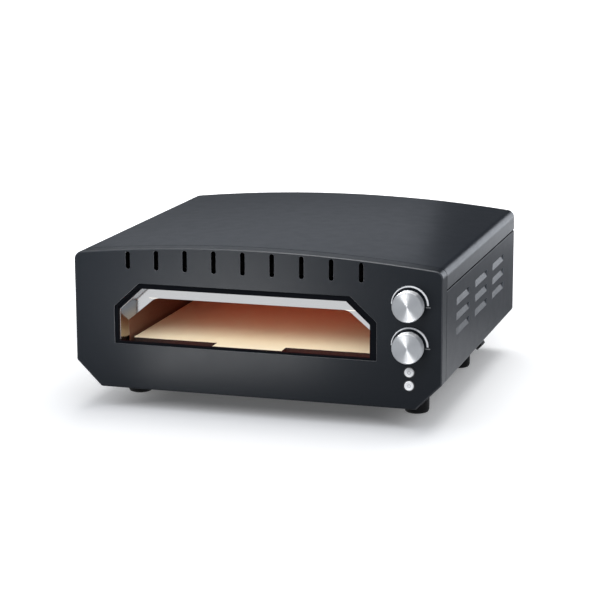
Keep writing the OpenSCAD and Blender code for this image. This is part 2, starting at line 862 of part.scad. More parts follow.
// Sheet between the hot cavity and the controls
module heat_shield() {
    color([0.65, 0.65, 0.66]) placed() difference() {
        union() {
            box(shield_x, shield_x + liner, joggle_back + 2, shield_back, floor_z + sheet, roof_z + 8);
            box(shield_x - post_flange, shield_x, baffle_back + 1, shield_back,
                floor_z + sheet, floor_z + 2 * sheet);
        }
        heater_holes(shield_x - 1, shield_x + liner + 1, 8);
        sensor_holes(shield_x - 1, shield_x + liner + 1, 3);
    }
}

// ---------- heating ----------

// Legs across the cavity, turned alternately at its left and its right
function serpentine(legs) = [
    for (i = [0:last_leg]) let (
        from_x = i == 0 ? heater_out : (i % 2 == 0 ? heater_right : heater_left),
        to_x = i == last_leg ? heater_out : (i % 2 == 0 ? heater_left : heater_right)
    ) each [[from_x, legs[i]], [to_x, legs[i]]]
];

module upper_heater() {
    color([0.75, 0.2, 0.08]) placed() translate([0, 0, upper_z])
        bent_tube(serpentine(upper_legs), heater_d / 2, bend_r);
}

module lower_heater() {
    color([0.75, 0.2, 0.08]) placed() translate([0, 0, lower_z])
        bent_tube(serpentine(lower_legs), heater_d / 2, bend_r);
}

module comb(x, legs, z, z0, z1) {
    difference() {
        box(x - comb_t / 2, x + comb_t / 2, legs[0] - comb_end, legs[last_leg] + comb_end, z0, z1);
        for (y = legs) rod_x(y, z, heater_d / 2 + 0.05, x - 2, x + 2);
    }
}

module heater_hangers() {
    color([0.6, 0.6, 0.6]) placed() for (x = comb_xs)
        comb(x, upper_legs, upper_z, upper_z - heater_d / 2 - 2, roof_z);
}

module heater_stands() {
    color([0.6, 0.6, 0.6]) placed() for (x = comb_xs)
        comb(x, lower_legs, lower_z, cavity_z, lower_z + heater_d / 2 + 1.5);
}

// Ceramic collars where the heater ends pass the cavity wall
module heater_bushings() {
    color([0.92, 0.9, 0.84]) placed() difference() {
        union() {
            heater_holes(wall_r - 1, wall_r + liner + 5, bush_r);
            heater_holes(wall_r + liner, wall_r + liner + 3, bush_r + 1.2);
        }
        heater_holes(wall_r - 2, wall_r + liner + 6, heater_d / 2 + 0.05);
    }
}

module heater_terminals() {
    color([0.92, 0.9, 0.84]) placed() {
        heater_holes(heater_out, heater_out + 7, heater_d / 2 + 0.8);
        heater_holes(heater_out + 7, heater_out + 12, 1.6);
    }
}

// ---------- controls ----------

// Regulator: body, mounting plate and threaded bush with the shaft's bore
module thermostat(i) {
    z = dial_zs[i];
    color([0.85, 0.83, 0.78]) placed() difference() {
        union() {
            box(dial_x - plate_w / 2, dial_x + plate_w / 2, panel_t, body_front,
                z - plate_h / 2, z + plate_h / 2);
            box(dial_x - regulator_w / 2, dial_x + regulator_w / 2, body_front, body_back,
                z - regulator_h / 2, z + regulator_h / 2);
            rod_y(dial_x, z, bush_od / 2, -nut_t, body_front);
            for (x = [dial_x - tag_pitch, dial_x, dial_x + tag_pitch])
                box(x - tag_w / 2, x + tag_w / 2, body_back, body_back + tag_l,
                    z - tag_drop - tag_t / 2, z - tag_drop + tag_t / 2);
        }
        rod_y(dial_x, z, shaft_d / 2 + shaft_fit, -nut_t - 1, shaft_end + 0.5);
    }
}

module thermostat_upper() {
    thermostat(0);
}

module thermostat_lower() {
    thermostat(1);
}

module thermostat_nuts() {
    color([0.7, 0.7, 0.72]) placed() for (z = dial_zs)
        slab(-nut_t, 0) translate([dial_x, z]) difference() {
            circle(r = 8, $fn = 6);
            circle(r = bush_od / 2 + 0.02);
        }
}

// Sensing tube from a regulator's back to the bulb in the cavity
module sensor(i) {
    z_exit = dial_zs[i] - 6;
    x_exit = dial_x + (i == 0 ? -8 : 8);
    y = sensor_y[i];
    z = sensor_z[i];
    color([0.72, 0.45, 0.3]) placed() {
        wire([
            [x_exit, body_back, z_exit], [x_exit, y, z_exit], [x_exit, y, z],
            [wall_r + liner + 2, y, z],
        ], sensor_d / 2);
        rod_x(y, z, bulb_d / 2, wall_r - bulb_reach, wall_r + liner + 2);
    }
}

module sensor_upper() {
    sensor(0);
}

module sensor_lower() {
    sensor(1);
}

// Push switch behind a button: body with the stem's bore and two legs to the panel
module push_switch(i) {
    z = button_zs[i];
    color([0.1, 0.1, 0.1]) placed() difference() {
        union() {
            box(dial_x - switch_half_w, dial_x + switch_half_w, switch_front, switch_back,
                z - switch_half_h, z + switch_half_h);
            for (x = [dial_x - switch_leg_x, dial_x + switch_leg_x])
                box(x - switch_leg_w / 2, x + switch_leg_w / 2, panel_t, switch_front,
                    z - switch_half_h + 1.5, z + switch_half_h - 1.5);
            for (x = [dial_x - switch_tag_x, dial_x + switch_tag_x])
                box(x - switch_tag_w / 2, x + switch_tag_w / 2, switch_back, switch_back + switch_tag_l,
                    z - switch_tag_t / 2, z + switch_tag_t / 2);
        }
        rod_y(dial_x, z, stem_r + 0.1, switch_front - 1, switch_front + 8);
    }
}

module switch_upper() {
    push_switch(0);
}

module switch_lower() {
    push_switch(1);
}

module button_bezels() {
    color([0.3, 0.31, 0.33]) placed() for (z = button_zs)
        slab(-bezel_t, 0) translate([dial_x, z]) difference() {
            circle(r = button_d / 2 + 1.3);
            circle(r = button_d / 2 + 0.25);
        }
}

module button(i) {
    z = button_zs[i];
    back = panel_t + rest_gap;
    color([0.85, 0.85, 0.85]) placed() {
        translate([dial_x, -button_proud, z]) rotate([-90, 0, 0]) rotate_extrude() polygon([
            [0, 0.3], [button_d / 2 - 1.2, 0.1], [button_d / 2 - 0.5, 0.25], [button_d / 2, 0.8],
            [button_d / 2, button_proud + back], [collar_r - 0.2, button_proud + back],
            [collar_r - 0.2, button_proud + back + collar_t],
            [stem_r, button_proud + back + collar_t],
            [stem_r, button_proud + switch_front + 4], [0, button_proud + switch_front + 4],
        ]);
    }
}

module button_upper() {
    button(0);
}

module button_lower() {
    button(1);
}

// Shaft with a flat at its outer end
module shaft(i) {
    z = dial_zs[i];
    out = dial_proud - cap_face - 3;
    color([0.7, 0.7, 0.72]) placed() difference() {
        rod_y(dial_x, z, shaft_d / 2, -out, shaft_end);
        box(dial_x - 4, dial_x + 4, -out - 1, -nut_t - 1, z + shaft_d / 2 - 1, z + shaft_d / 2 + 1);
    }
}

module shaft_upper() {
    shaft(0);
}

module shaft_lower() {
    shaft(1);
}

module dial_core(i) {
    z = dial_zs[i];
    color([0.08, 0.08, 0.085]) placed() difference() {
        rod_y(dial_x, z, core_d / 2, -(dial_proud - cap_face), -nut_t - 0.5);
        difference() {
            rod_y(dial_x, z, shaft_d / 2 + 0.01, -(dial_proud - cap_face - 3), 0);
            box(dial_x - 4, dial_x + 4, -dial_proud, -nut_t - 1,
                z + shaft_d / 2 - 0.99, z + shaft_d / 2 + 2);
        }
    }
}

module dial_core_upper() {
    dial_core(0);
}

module dial_core_lower() {
    dial_core(1);
}

// Turned metal cap: a shallow cup over the core, with a bright chamfer round its face
module dial_cap(i) {
    r = dial_d / 2;
    depth = dial_proud - cap_back;
    color([0.82, 0.83, 0.84]) placed() translate([dial_x, -dial_proud, dial_zs[i]])
        rotate([-90, 0, 0]) rotate_extrude($fn = 96) polygon([
            [0, 0.35], [2, 0.35], [r - 1.6, 0.05], [r - 1.2, 0], [r, 1.1], [r, depth - 0.4],
            [r - 0.4, depth], [core_d / 2, depth], [core_d / 2, cap_face], [0, cap_face],
        ]);
}

module dial_cap_upper() {
    dial_cap(0);
}

module dial_cap_lower() {
    dial_cap(1);
}

// ---------- electrics at the rear ----------

// Resettable cut-out clipped to the cavity's rear wall
module thermal_cutout() {
    r = 8;
    nose_r = 5;
    tag = 3;
    color([0.15, 0.13, 0.12]) placed() {
        rod_y(cutout_x, cutout_z, nose_r, cavity_back, cavity_back + liner);
        rod_y(cutout_x, cutout_z, r, cavity_back + liner, cutout_back);
        for (x = [cutout_x - cutout_tag_x, cutout_x + cutout_tag_x])
            box(x - tag / 2, x + tag / 2, cutout_back, cutout_back + cutout_tag,
                cutout_z - tag_t / 2, cutout_z + tag_t / 2);
    }
}

module terminal_block() {
    z = floor_z + sheet;
    color([0.9, 0.88, 0.82]) placed() difference() {
        union() {
            box(block_x - block_w / 2, block_x + block_w / 2, block_front, block_front + block_d, z, z + 8);
            for (i = [-1:1]) box(block_x + i * pole - 5, block_x + i * pole + 5,
                block_front, block_front + block_d, z, z + block_h);
        }
        for (i = [-1:1]) translate([block_x + i * pole, block_front + block_d / 2, z + block_h - 8])
            cylinder(h = 10, r = 2.4);
    }
}

// Wires: block to regulators, regulators to heaters, heaters and cut-out back to the block
module wiring_harness() {
    r = 1.3;
    z = floor_z + sheet + 4;
    block_end = block_front + block_d;
    lane = half_w - 35;
    lane_in = lane - 4;
    up_y = 50;
    up_y_in = 56;
    pin = heater_out + 12;
    drop = pin + 5;
    tag_y = body_back + tag_l;
    tag_right = dial_x + tag_pitch;
    tag_left = dial_x - tag_pitch;
    tag_low = dial_low_z - tag_drop;
    tag_high = dial_high_z - tag_drop;
    first_up = upper_legs[0];
    first_low = lower_legs[0];
    last_up = upper_legs[last_leg];
    last_low = lower_legs[last_leg];
    cut_y = cutout_back + cutout_tag;
    cut_a = cutout_x + cutout_tag_x;
    cut_b = cutout_x - cutout_tag_x;
    turn_a = cut_y + 22;
    turn_b = cut_y + 28;
    color([0.55, 0.1, 0.08]) placed() {
        wire([[block_x - pole, block_front, z], [block_x - pole, block_front - 4, z],
            [lane, block_front - 4, z], [lane, up_y, z], [lane, up_y, tag_low],
            [tag_right, up_y, tag_low], [tag_right, tag_y, tag_low]], r);
        wire([[block_x, block_front, z + 5], [block_x, block_front - 8, z + 5],
            [lane_in, block_front - 8, z + 5], [lane_in, up_y_in, z + 5], [lane_in, up_y_in, tag_high],
            [tag_right, up_y_in, tag_high], [tag_right, tag_y, tag_high]], r);
        wire([[tag_left, tag_y, tag_low], [tag_left, tag_y + 5, tag_low], [tag_left, tag_y + 5, lower_z],
            [tag_left, first_low, lower_z], [pin, first_low, lower_z]], r);
        wire([[tag_left, tag_y, tag_high], [tag_left, first_up, tag_high], [tag_left, first_up, upper_z],
            [pin, first_up, upper_z]], r);
        wire([[pin, last_up, upper_z], [drop, last_up, upper_z], [drop, last_up, lower_z],
            [drop, last_low - 1, lower_z]], r);
        wire([[pin, last_low, lower_z], [drop, last_low, lower_z], [drop, last_low, z + 10],
            [drop, block_front - 6, z + 10], [block_x + pole, block_front - 6, z + 10],
            [block_x + pole, block_front, z + 10]], r);
        wire([[cut_a, cut_y, cutout_z], [cut_a, turn_a, cutout_z], [cut_a, turn_a, z + 8],
            [block_x - pole, turn_a, z + 8], [block_x - pole, block_end, z + 8]], r);
        wire([[cut_b, cut_y, cutout_z], [cut_b, turn_b, cutout_z], [cut_b, turn_b, z + 4],
            [block_x, turn_b, z + 4], [block_x, block_end, z + 4]], r);
    }
}

module cord_gland() {
    color([0.06, 0.06, 0.065]) placed() translate([gland_x, body_d, gland_z]) rotate([-90, 0, 0])
        rotate_extrude() polygon([
            [gland_bore / 2, -14], [7.5, -14], [7.5, 0], [10.5, 0], [10.5, 4], [9, 5.5],
            [6.6, gland_proud - 0.8], [5.8, gland_proud], [gland_bore / 2, gland_proud],
        ]);
}

module gland_nut() {
    color([0.1, 0.1, 0.1]) placed() slab(body_d - sheet - 5, body_d - sheet)
        translate([gland_x, gland_z]) difference() {
            circle(r = 11, $fn = 6);
            circle(r = 7.55);
        }
}

module earth_stud() {
    x = block_x - 32;
    color([0.75, 0.68, 0.4]) placed() translate([x, body_d - 50, floor_z + sheet]) {
        cylinder(h = 12, r = 2);
        cylinder(h = 3, r = 4.2, $fn = 6);
    }
}

// ---------- stone ----------

// Slab with a front tab that reaches forward to the sill
module pizza_stone() {
    hw = stone_w / 2;
    color([0.9, 0.84, 0.7]) placed() translate([mouth_x, 0, stone_z]) linear_extrude(stone_t)
        polygon(rounded([
            [-tab_w / 2, tab_front, 3], [tab_w / 2, tab_front, 3],
            [tab_w / 2, stone_front, 1.5], [hw, stone_front, 3],
            [hw, stone_front + stone_d, 3], [-hw, stone_front + stone_d, 3],
            [-hw, stone_front, 3], [-tab_w / 2, stone_front, 1.5],
        ], 5));
}

front_panel();
scale_arcs();
mouth_frame();
frame_rivets();
mouth_tunnel();
front_baffle();
top_cover();
side_panel_left();
side_panel_right();
rear_panel();
base_plate();
rear_screws();
feet();
foot_screws();
bumper_left();
bumper_right();
cavity_side_left();
cavity_side_right();
cavity_rear();
upper_reflector();
lower_reflector();
stone_rail_left();
stone_rail_right();
insulation_wrap();
insulation_rear();
heat_shield();
upper_heater();
lower_heater();
heater_hangers();
heater_stands();
heater_bushings();
heater_terminals();
thermostat_upper();
thermostat_lower();
thermostat_nuts();
sensor_upper();
sensor_lower();
switch_upper();
switch_lower();
button_bezels();
thermal_cutout();
terminal_block();
wiring_harness();
cord_gland();
gland_nut();
earth_stud();
shaft_upper();
dial_core_upper();
dial_cap_upper();
shaft_lower();
dial_core_lower();
dial_cap_lower();
button_upper();
button_lower();
pizza_stone();
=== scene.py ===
"""Looks of the countertop pizza oven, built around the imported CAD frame."""

import json
import math

import bmesh
import bpy
from mathutils import Matrix, Vector


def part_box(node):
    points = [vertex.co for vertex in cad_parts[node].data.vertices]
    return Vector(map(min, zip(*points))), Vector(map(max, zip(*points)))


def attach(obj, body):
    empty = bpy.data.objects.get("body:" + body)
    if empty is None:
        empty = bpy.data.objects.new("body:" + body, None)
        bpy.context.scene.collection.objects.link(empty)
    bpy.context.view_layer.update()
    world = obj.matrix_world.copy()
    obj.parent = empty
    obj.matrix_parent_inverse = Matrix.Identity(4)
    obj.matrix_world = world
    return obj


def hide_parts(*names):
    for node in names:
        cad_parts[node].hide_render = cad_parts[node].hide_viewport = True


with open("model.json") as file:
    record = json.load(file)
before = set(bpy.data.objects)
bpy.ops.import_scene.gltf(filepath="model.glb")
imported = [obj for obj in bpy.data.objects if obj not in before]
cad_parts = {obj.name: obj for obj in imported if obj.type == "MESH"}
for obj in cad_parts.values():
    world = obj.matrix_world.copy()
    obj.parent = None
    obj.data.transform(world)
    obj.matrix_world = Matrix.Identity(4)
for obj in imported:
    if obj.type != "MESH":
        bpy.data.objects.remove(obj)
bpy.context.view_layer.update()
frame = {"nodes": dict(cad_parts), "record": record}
NODES = frame["nodes"]
MM = 0.001
ROWS = ("upper", "lower")


# ---------- places taken from the frame ----------

def middle(node):
    """Middle of the node's box."""
    low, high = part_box(node)
    return (low + high) / 2


PANEL_LOW, PANEL_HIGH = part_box("front_panel")
MOUTH_X = middle("mouth_frame").x
SEAM_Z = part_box("top_cover")[0].z
CABINET_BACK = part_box("rear_panel")[1].y
LOUVERS_FROM, LOUVERS_TO = PANEL_LOW.y + 60 * MM, CABINET_BACK - 50 * MM


# ---------- node helpers ----------

MIX_FACTOR, MIX_A, MIX_B, MIX_RESULT = 0, 6, 7, 2
NOISE_LOW, NOISE_HIGH = 0.3, 0.7


class Nodes:
    """Makes nodes in a node tree and links their sockets."""

    def __init__(self, tree):
        self.tree = tree

    def node(self, kind, values=None, **settings):
        made = self.tree.nodes.new(kind)
        for setting, value in settings.items():
            setattr(made, setting, value)
        for socket, value in (values or {}).items():
            self.feed(made.inputs[socket], value)
        return made

    def feed(self, socket, value):
        if isinstance(value, bpy.types.NodeSocket):
            self.tree.links.new(value, socket)
        else:
            socket.default_value = value

    def split(self, vector):
        return self.node("ShaderNodeSeparateXYZ", {0: vector}).outputs

    def math(self, operation, a, b=0.0):
        return self.node("ShaderNodeMath", {0: a, 1: b}, operation=operation).outputs[0]

    def distance(self, a, b):
        """Length of the vector (a, b)."""
        return self.math("SQRT", self.math("ADD", self.math("POWER", a, 2.0), self.math("POWER", b, 2.0)))

    def span(self, value, low, high, to_low=0.0, to_high=1.0, smooth=False):
        """Maps low..high to to_low..to_high, held at both ends."""
        kind = "SMOOTHSTEP" if smooth else "LINEAR"
        made = self.node("ShaderNodeMapRange", {"Value": value, "From Min": low, "From Max": high,
                                                "To Min": to_low, "To Max": to_high},
                         interpolation_type=kind, clamp=True)
        return made.outputs[0]

    def mix(self, factor, a, b, blend="MIX"):
        made = self.node("ShaderNodeMix", data_type="RGBA", blend_type=blend)
        for socket, value in zip((MIX_FACTOR, MIX_A, MIX_B), (factor, a, b)):
            if isinstance(value, tuple):
                value = (*value, 1)
            self.feed(made.inputs[socket], value)
        return made.outputs[MIX_RESULT]


class Shader(Nodes):
    """A material under construction, with its principled shader."""

    def __init__(self, name, **sockets):
        self.material = bpy.data.materials.new(name)
        self.material.use_nodes = True
        super().__init__(self.material.node_tree)
        self.bsdf = self.tree.nodes["Principled BSDF"]
        self.output = self.tree.nodes["Material Output"]
        self.place = self.node("ShaderNodeTexCoord").outputs["Object"]
        for socket, value in sockets.items():
            self.bsdf.inputs[socket.replace("_", " ")].default_value = value

    def axis(self, name):
        return self.split(self.place)[name]

    def noise(self, per_metre, detail=3.0, rough=0.5, stretch=(1, 1, 1)):
        where = self.node("ShaderNodeMapping", {"Vector": self.place, "Scale": stretch})
        made = self.node("ShaderNodeTexNoise", {"Vector": where.outputs[0], "Scale": per_metre,
                                                "Detail": detail, "Roughness": rough})
        return made.outputs["Fac"]

    def cells(self, per_metre):
        made = self.node("ShaderNodeTexVoronoi", {"Vector": self.place, "Scale": per_metre})
        return made.outputs["Distance"]

    def colour(self, value):
        self.feed(self.bsdf.inputs["Base Color"], value)
        return self

    def rough(self, noise, low, high):
        """Roughness that follows a noise from low to high."""
        self.feed(self.bsdf.inputs["Roughness"], self.span(noise, NOISE_LOW, NOISE_HIGH, low, high))
        return self

    def bump(self, height, depth, strength=1.0):
        made = self.node("ShaderNodeBump", {"Height": height, "Distance": depth, "Strength": strength})
        if self.bsdf.inputs["Normal"].is_linked:
            before = self.bsdf.inputs["Normal"].links[0].from_socket
            self.feed(made.inputs["Normal"], before)
        self.feed(self.bsdf.inputs["Normal"], made.outputs[0])
        return self


def darker(colour, share):
    return tuple(c * share for c in colour)


# ---------- materials ----------

def powder_coat(name, colour, roughness=0.3, grain=0.03, specular=0.12):
    """Fine textured coating on sheet steel: orange peel bump, faint clouds and slightly uneven gloss."""
    s = Shader(name, Metallic=0.0, IOR=1.5, Specular_IOR_Level=specular)
    cloud_depth, gloss_depth = 0.03, 0.015
    clouds = s.noise(7, 3)
    peel = s.noise(900, 2, 0.6)
    s.colour(s.mix(clouds, darker(colour, 1 - cloud_depth), darker(colour, 1 + cloud_depth)))
    s.rough(s.noise(60, 3), roughness - gloss_depth, roughness + gloss_depth)
    return s.bump(peel, grain * MM).material


def rolled_bump(s):
    """Slight waviness of rolled sheet."""
    return s.bump(s.noise(14, 2), 0.15 * MM, 0.3)


def polished_steel(name, colour):
    """Bright rolled sheet with faint grain along X."""
    s = Shader(name, Metallic=1.0)
    grain = s.noise(700, 2, 0.5, stretch=(0.03, 1, 1))
    s.colour(s.mix(grain, darker(colour, 0.95), colour))
    s.rough(grain, 0.08, 0.14)
    return rolled_bump(s).material


def painted_reflection_steel(name, stone_reflection_brown, colour):
    """Bright sheet with grain along Z and a painted reflection of the stone: brown low down, fading out
    upwards.
    """
    s = Shader(name, Metallic=1.0)
    grain = s.noise(700, 2, 0.5, stretch=(1, 1, 0.03))
    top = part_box("mouth_tunnel")[1].z
    # Painted reflection: the stone's brown low on the walls, fading to the steel's own colour upwards.
    steel_with_reflection = s.mix(s.span(s.axis("Z"), top - 48 * MM, top - 28 * MM, smooth=True), stone_reflection_brown, colour)
    s.colour(s.mix(grain, steel_with_reflection, s.mix(1.0, steel_with_reflection, (0.94, 0.94, 0.94), "MULTIPLY")))
    s.rough(grain, 0.128, 0.224)
    return rolled_bump(s).material


def satin_metal(name, colour, roughness=0.35, metallic=1.0):
    """Plain metal with a fine dull grain."""
    s = Shader(name, Metallic=metallic)
    grain = s.noise(400, 3, 0.6)
    s.colour(s.mix(grain, darker(colour, 0.88), colour))
    s.rough(grain, roughness * 0.85, roughness * 1.2)
    return s.bump(grain, 0.02 * MM).material


def hot_tube(name, colour, glow, strength):
    """Heater sheath at work: oxidised metal that glows unevenly."""
    s = Shader(name, Metallic=0.6, Roughness=0.55, Emission_Strength=strength)
    patches = s.noise(45, 3)
    s.colour(s.mix(patches, darker(colour, 0.6), colour))
    s.feed(s.bsdf.inputs["Emission Color"], s.mix(patches, darker(glow, 0.8), glow))
    return s.bump(s.noise(600, 3), 0.03 * MM).material


def cordierite(name, colour, painted_shade_dark, painted_shade_pale):
    """Pressed baking stone: chalky with fine pores and faint warmer patches; painted shade makes its upright
    faces a near-black brown.
    """
    s = Shader(name)
    pores = s.span(s.cells(420), 0.05, 0.22)
    patches = s.noise(12, 4)
    warm = (colour[0] * 0.97, colour[1] * 0.92, colour[2] * 0.84)
    flat_look = s.mix(pores, darker(colour, 0.82), s.mix(patches, warm, colour))
    # Painted shade: the upright faces take a near-black brown instead of the stone's cream, as if the sill
    # shaded them.
    painted_shade_look = s.mix(patches, painted_shade_dark, painted_shade_pale)
    facing = s.split(s.node("ShaderNodeNewGeometry").outputs["True Normal"])
    flat = s.span(s.math("ABSOLUTE", facing["Z"]), 0.4, 0.8)
    s.colour(s.mix(flat, painted_shade_look, flat_look))
    s.rough(s.noise(300, 2), 0.72, 0.88)
    s.bump(pores, 0.08 * MM, 0.6)
    return s.bump(s.noise(900, 3), 0.05 * MM).material


def plastic(name, colour, roughness=0.45, texture=0.03):
    """Moulded plastic with a fine spark-eroded texture."""
    s = Shader(name)
    skin = s.noise(1500, 2, 0.6)
    s.colour(s.mix(s.noise(35, 3), darker(colour, 0.85), darker(colour, 1.1)))
    s.rough(skin, roughness - 0.05, roughness + 0.07)
    return s.bump(skin, texture * MM).material


def rubber(name, colour):
    """Dull black rubber with a trace of dust, which is paler and rougher."""
    s = Shader(name, Specular_IOR_Level=0.15)
    dust = s.span(s.noise(160, 4), 0.45, 0.75)
    s.colour(s.mix(dust, colour, darker(colour, 1.9)))
    s.feed(s.bsdf.inputs["Roughness"], s.span(dust, 0, 1, 0.55, 0.72))
    return s.bump(s.noise(2200, 2), 0.03 * MM).material


def print_ink(name, colour):
    """Pale ink; the short bars at the arcs' right ends are printed in a darker grey."""
    s = Shader(name, Roughness=0.4)
    bar_drop, bar_half, blur = 2.05 * MM, 0.7 * MM, 0.2 * MM
    bars = []
    for row in ROWS:
        bar_z = middle("dial_cap_" + row).z - bar_drop
        off = s.math("ABSOLUTE", s.math("SUBTRACT", s.axis("Z"), bar_z))
        bars.append(s.span(off, bar_half, bar_half + blur, 1.0, 0.0))
    ink = s.mix(s.noise(500, 3), darker(colour, 0.9), colour)
    s.colour(s.mix(s.math("MAXIMUM", *bars), ink, darker(colour, 0.25)))
    return s.bump(s.noise(1800, 2), 0.01 * MM).material


def marked_button(name, colour, mark):
    """Satin white plastic with a faint painted glow that brightens it, and a small printed ring and bar."""
    # Painted light: a faint white glow that brightens the cap.
    s = Shader(name, Emission_Color=(1, 1, 1, 1), Emission_Strength=0.06)
    ring_r, line_half, blur, bar_half = 1.9 * MM, 0.25 * MM, 0.1 * MM, 0.9 * MM
    grain = s.noise(400, 3, 0.6)
    x, z = s.axis("X"), s.axis("Z")

    def stroke(offset, half):
        return s.span(s.math("ABSOLUTE", offset), half, half + blur, 1.0, 0.0)

    ring = stroke(s.math("SUBTRACT", s.distance(x, z), ring_r), line_half)
    bar = s.math("MULTIPLY", stroke(x, line_half), stroke(z, bar_half))
    printed = s.math("MAXIMUM", ring, bar)
    s.colour(s.mix(printed, s.mix(grain, darker(colour, 0.88), colour), mark))
    s.rough(grain, 0.34, 0.48)
    return s.bump(grain, 0.02 * MM).material


def spun_metal(name, colour):
    """Turned face: anisotropic gloss round the axis, fine concentric grooves of uneven depth."""
    s = Shader(name, Metallic=1.0, Anisotropic=0.95, Anisotropic_Rotation=0.25)
    tangent = s.node("ShaderNodeTangent", direction_type="RADIAL", axis="Y")
    s.feed(s.bsdf.inputs["Tangent"], tangent.outputs[0])
    grooves_per_metre = 9000
    radius = s.distance(s.axis("X"), s.axis("Z"))
    rings = s.node("ShaderNodeTexNoise", {"W": s.math("MULTIPLY", radius, grooves_per_metre),
                                          "Scale": 1.0, "Detail": 3.0}, noise_dimensions="1D")
    grooves = rings.outputs["Fac"]
    s.colour(s.mix(grooves, darker(colour, 0.88), colour))
    s.rough(grooves, 0.42, 0.52)
    return s.bump(grooves, 0.01 * MM, 0.5).material


ANTHRACITE = (0.0105, 0.0128, 0.0168)

MATERIALS = {
    "panel_coat": powder_coat("panel_coat", (0.0064, 0.0082, 0.011)),
    "case_coat": powder_coat("case_coat", ANTHRACITE),
    "base_coat": powder_coat("base_coat", (0.018, 0.021, 0.025), roughness=0.5),
    "print": print_ink("print_ink", (0.72, 0.73, 0.75)),
    "frame_black": powder_coat("frame_black", (0.0028, 0.0034, 0.005), roughness=0.35, grain=0.02,
                               specular=0.04),
    "polished_steel": polished_steel("polished_steel", (0.5, 0.49, 0.475)),
    "liner_steel": satin_metal("liner_steel", (0.5, 0.47, 0.42), roughness=0.4),
    "heater_hot": hot_tube("heater_hot", (0.3, 0.09, 0.04), glow=(1.0, 0.085, 0.025), strength=0.85),
    "plated_steel": satin_metal("plated_steel", (0.62, 0.62, 0.63)),
    "black_steel": powder_coat("black_steel", (0.012, 0.012, 0.014), roughness=0.35),
    "foot_rubber": rubber("foot_rubber", (0.0035, 0.0036, 0.004)),
    "black_plastic": plastic("black_plastic", (0.014, 0.014, 0.016)),
    "ceramic": plastic("ceramic", (0.75, 0.7, 0.6), roughness=0.4),
    "blanket": plastic("blanket", (0.02, 0.02, 0.02), roughness=0.9, texture=0.4),
    "copper": satin_metal("copper", (0.75, 0.38, 0.24)),
    "brass": satin_metal("brass", (0.75, 0.55, 0.22)),
    "wire": plastic("wire", (0.35, 0.03, 0.02)),
    "bezel_grey": plastic("bezel_grey", (0.006, 0.0065, 0.008), roughness=0.35),
    "dial_metal": spun_metal("dial_metal", (0.42, 0.425, 0.43)),
    "button_white": marked_button("button_white", (0.95, 0.96, 0.97), mark=(0.38, 0.39, 0.41)),
    # The stone's upright faces carry painted shade.
    "stone_cream": cordierite("stone_cream", (0.84, 0.8, 0.62), painted_shade_dark=(0.01, 0.004, 0.003),
                              painted_shade_pale=(0.016, 0.007, 0.005)),
}

# Coats on single faces or pieces, beside the slots above.
# Painted shade: flat black that darkens gaps, seams and the ring round each button.
SHADE_BLACK = powder_coat("painted_shade_black", (0.0016, 0.0018, 0.0024), roughness=0.9, grain=0.02, specular=0.0)
# Painted light: a pale coat that lightens the shaded louver ends.
LOUVER_LIGHT_COAT = powder_coat("louver_end_painted_light", (0.34, 0.36, 0.4), roughness=0.6, grain=0.01, specular=0.1)
# Painted highlight: the case colour, lighter than the front's own, on the front's outer fold, and glossier.
FOLD_HIGHLIGHT_COAT = powder_coat("fold_painted_highlight", ANTHRACITE, roughness=0.3, grain=0.01, specular=0.5)
LOWER_GLOW = hot_tube("heater_hot_low", (0.3, 0.07, 0.03), glow=(1.0, 0.12, 0.03), strength=5.0)
# The tunnel walls carry a painted reflection of the stone.
TUNNEL_STEEL = painted_reflection_steel("tunnel_steel", stone_reflection_brown=(0.34, 0.27, 0.19), colour=(0.17, 0.185, 0.21))
# Painted reflection and light: reddish brown walls stand for the stone they mirror and the heaters' red
# light; their satin metal still reflects for real.
CAVITY_PAINTED_REFLECTION = satin_metal("cavity_painted_reflection", (0.2, 0.1, 0.065), roughness=0.5, metallic=0.3)


# ---------- CAD nodes and their finishes ----------

RECORD = frame["record"]
SLOT_OF = {part["node"]: part["material_slot"] for part in RECORD["subparts"]}
BODY_OF = {}
for body, members in RECORD["behaviour"]["bodies"].items():
    BODY_OF.update((node, body) for node in members)
OWN_FINISH = {
    "lower_heater": LOWER_GLOW,
    "mouth_tunnel": TUNNEL_STEEL,
    "cavity_side_left": CAVITY_PAINTED_REFLECTION,
    "cavity_side_right": CAVITY_PAINTED_REFLECTION,
    "cavity_rear": CAVITY_PAINTED_REFLECTION,
}
for name, node in NODES.items():
    node.data.materials.clear()
    node.data.materials.append(OWN_FINISH.get(name, MATERIALS[SLOT_OF[name]]))


# ---------- making pieces ----------

def new_object(name, data):
    made = bpy.data.objects.new(name, data)
    bpy.context.scene.collection.objects.link(made)
    return made


def mesh_from(shape, name):
    """Smooth shaded mesh data from a bmesh, which is used up."""
    data = bpy.data.meshes.new(name)
    shape.to_mesh(data)
    shape.free()
    data.shade_smooth()
    return data


def solid(name, verts, faces, sharp):
    """Closed piece from points and faces, its edges shaded sharp from that many degrees."""
    raw = bpy.data.meshes.new("raw")
    raw.from_pydata(verts, [], faces)
    shape = bmesh.new()
    shape.from_mesh(raw)
    bpy.data.meshes.remove(raw)
    bmesh.ops.remove_doubles(shape, verts=shape.verts, dist=0.001 * MM)
    bmesh.ops.recalc_face_normals(shape, faces=shape.faces)
    data = mesh_from(shape, name)
    data.set_sharp_from_angle(angle=math.radians(sharp))
    return new_object(name, data)


def dress(piece, body, slot, *nodes):
    """Gives a piece the material of its slot and its body, and hides the CAD nodes that it replaces."""
    piece.data.materials.append(MATERIALS[slot])
    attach(piece, body)
    if nodes:
        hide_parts(*nodes)
    return piece


def add_coat(piece, coat, chosen):
    """Another coat on the faces that chosen(face) picks."""
    piece.data.materials.append(coat)
    for face in piece.data.polygons:
        if chosen(face):
            face.material_index = len(piece.data.materials) - 1
    return piece


